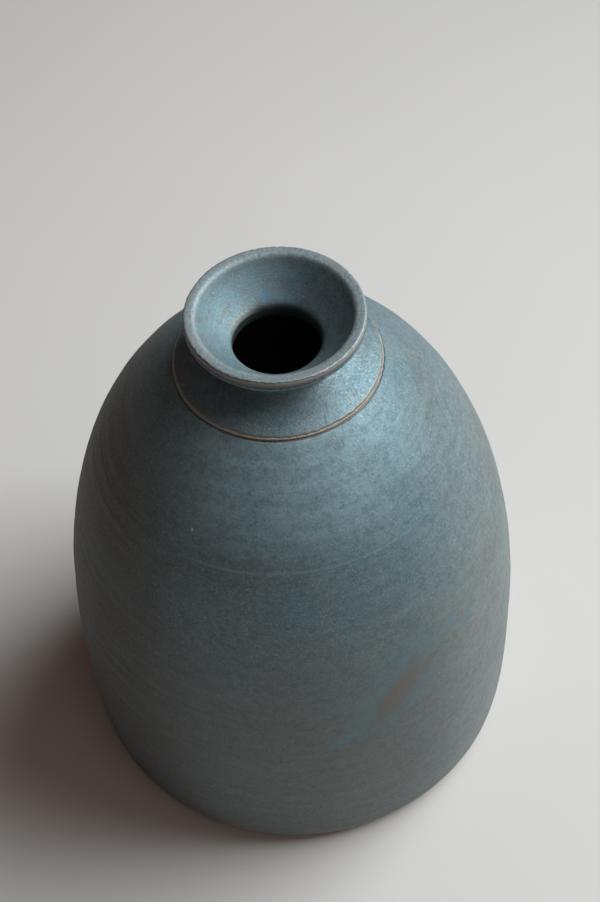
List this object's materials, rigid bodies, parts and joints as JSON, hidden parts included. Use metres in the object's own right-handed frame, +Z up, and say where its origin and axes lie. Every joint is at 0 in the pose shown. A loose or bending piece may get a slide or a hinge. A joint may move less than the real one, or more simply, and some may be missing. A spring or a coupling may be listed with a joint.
{
  "type": "bud vase",
  "caption": "Tall domed stoneware bud vase with a short spool neck, a flared funnel rim, a fine bare clay collar and a satin blue-grey glaze.",
  "frame": {"origin": "centre of the plane that the foot ring stands on", "axes": "+Z up along the vase's axis; X and Y are equal, because the vase is round"},
  "size_m": [0.1057, 0.1058, 0.137],
  "materials": {
    "stoneware": "bare fired stoneware, dry and slightly sandy, warm brown",
    "slip": "bare fired slip, dry",
    "satin_glaze": "satin matt blue-grey glaze with fine speckle, breaking to brown where it is thin",
    "liner_glaze": "smooth dark glaze"
  },
  "bodies": {
    "root": {"thrown_body": "stoneware", "foot_ring": "stoneware", "luting_slip": "slip", "thrown_neck": "stoneware", "body_glaze": "satin_glaze", "neck_glaze": "satin_glaze", "funnel_glaze": "satin_glaze", "liner_glaze": "liner_glaze"}
  },
  "joints": []
}
